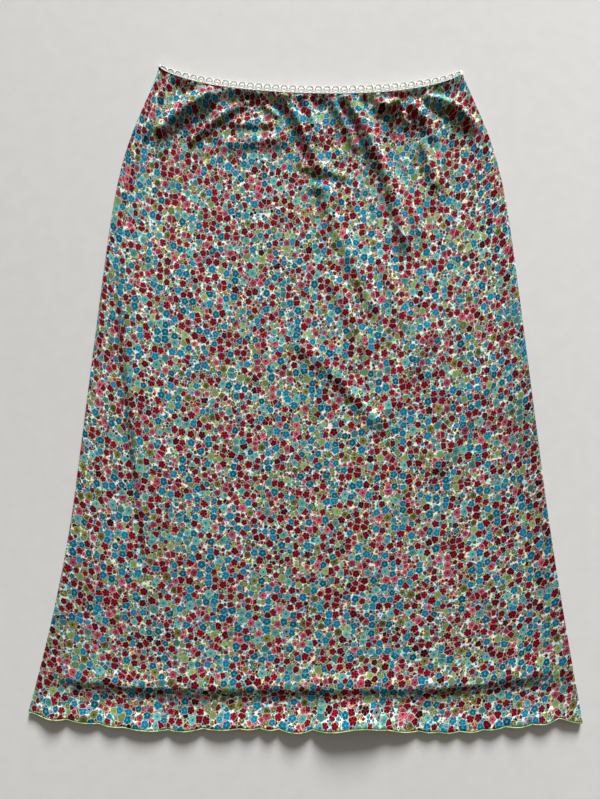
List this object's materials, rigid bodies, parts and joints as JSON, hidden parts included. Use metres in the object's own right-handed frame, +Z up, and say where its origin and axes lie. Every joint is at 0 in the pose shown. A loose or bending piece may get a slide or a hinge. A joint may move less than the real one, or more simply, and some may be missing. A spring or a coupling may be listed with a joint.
{
  "type": "midi skirt",
  "caption": "Pull-on A-line midi skirt in printed stretch mesh, laid flat: front and back panels, a picot elastic waist and a wavy rolled hem edge.",
  "frame": {"origin": "middle of the laid-out skirt, on the surface it lies on", "axes": "+X across the skirt, towards the right side as seen from the front; +Y from hem to waist; +Z up, out of the front panel"},
  "size_m": [0.6173, 0.7423, 0.0133],
  "materials": {
    "printed_mesh": "matte stretch mesh printed all over with small flowers in crimson, turquoise, pink, olive and pale blue on off-white",
    "picot_elastic": "soft off-white elastic with a scalloped picot edge",
    "hem_thread": "lime green overlock thread, slightly glossy"
  },
  "bodies": {
    "root": {"front_panel": "printed_mesh", "back_panel": "printed_mesh", "waist_elastic": "picot_elastic", "hem_edge": "hem_thread"}
  },
  "joints": []
}
